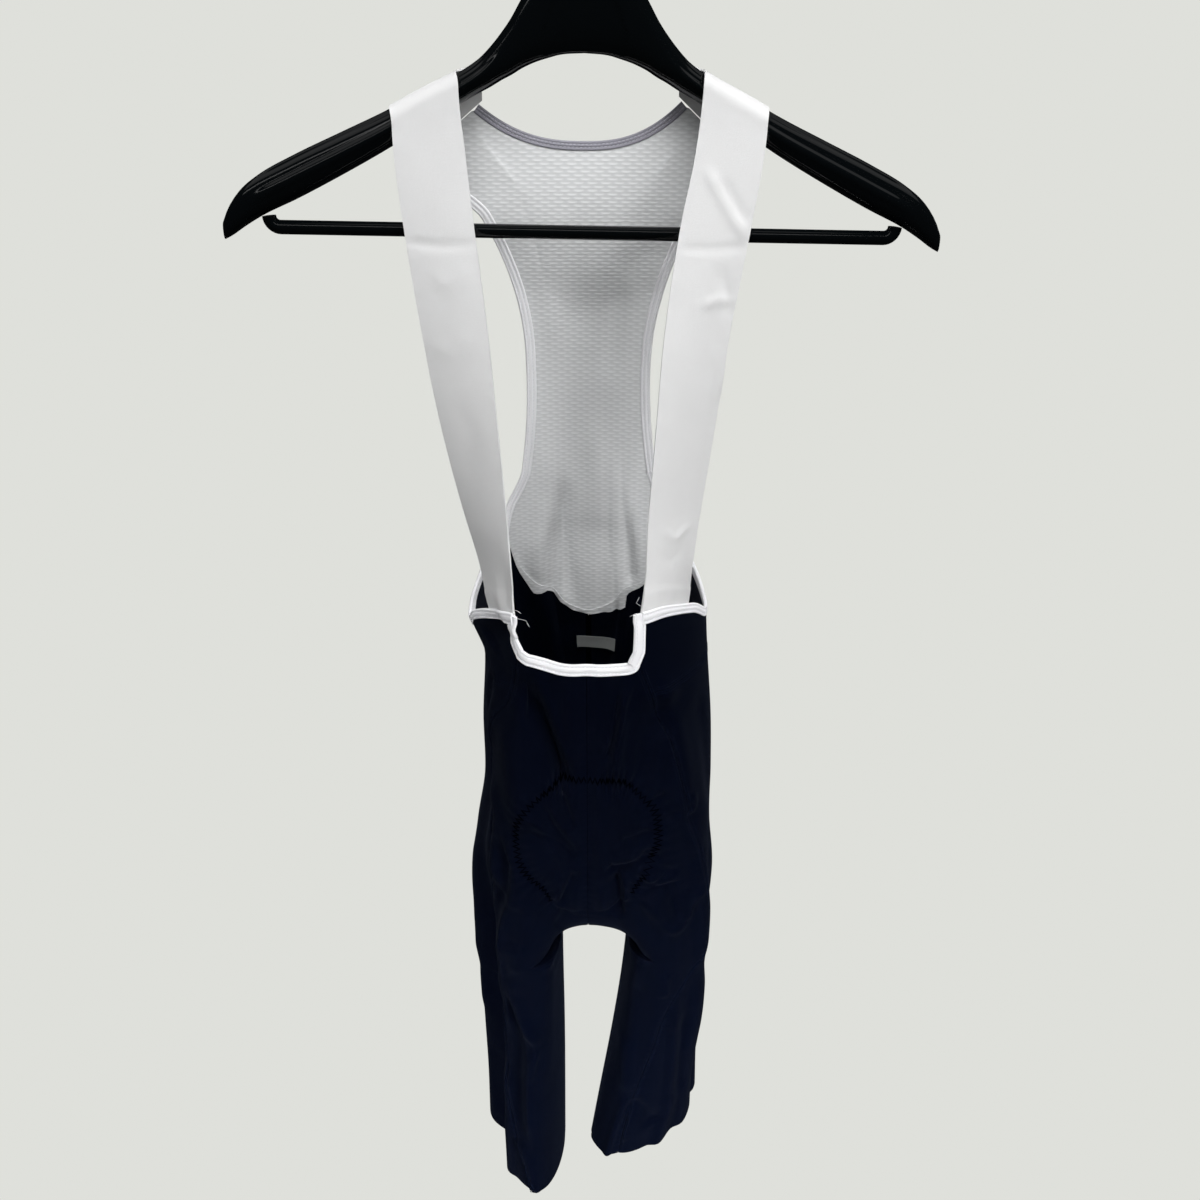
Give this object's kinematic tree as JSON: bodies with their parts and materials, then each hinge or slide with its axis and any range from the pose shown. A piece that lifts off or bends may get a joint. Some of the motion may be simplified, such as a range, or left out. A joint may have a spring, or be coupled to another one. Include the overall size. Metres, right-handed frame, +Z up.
{
  "type": "cycling bib shorts on a clothes hanger",
  "caption": "Stretch cycling bib shorts with elastic shoulder straps and a mesh back, hanging on a plastic clothes hanger with a wire hook.",
  "frame": {"origin": "inside of the hook's bend, where a rail carries the hanger", "axes": "+Z up, the front of the shorts faces -Y, +X to the viewer's right"},
  "size_m": [0.4511, 0.1625, 1.0389],
  "materials": {
    "navy_lycra": "matt knitted stretch cloth",
    "white_elastic": "smooth woven elastic",
    "white_mesh": "hexagon knit mesh",
    "white_binding": "folded stretch binding",
    "neck_binding": "folded stretch binding",
    "pad_cover": "brushed pad cover",
    "label": "plain printed patch",
    "black_plastic": "glossy black",
    "steel_wire": "bright plated wire"
  },
  "bodies": {
    "root": {"front_l": "navy_lycra", "front_r": "navy_lycra", "side_l": "navy_lycra", "side_r": "navy_lycra", "back_l": "navy_lycra", "back_r": "navy_lycra", "yoke_l": "navy_lycra", "yoke_r": "navy_lycra", "mesh_back": "white_mesh", "strap_l": "white_elastic", "strap_r": "white_elastic", "binding_front": "white_binding", "binding_side_l": "white_binding", "binding_side_r": "white_binding", "binding_neck": "neck_binding", "seat_pad": "pad_cover", "size_label": "label", "hanger_arms": "black_plastic", "hanger_bar": "black_plastic", "hanger_hook": "steel_wire"}
  },
  "joints": []
}
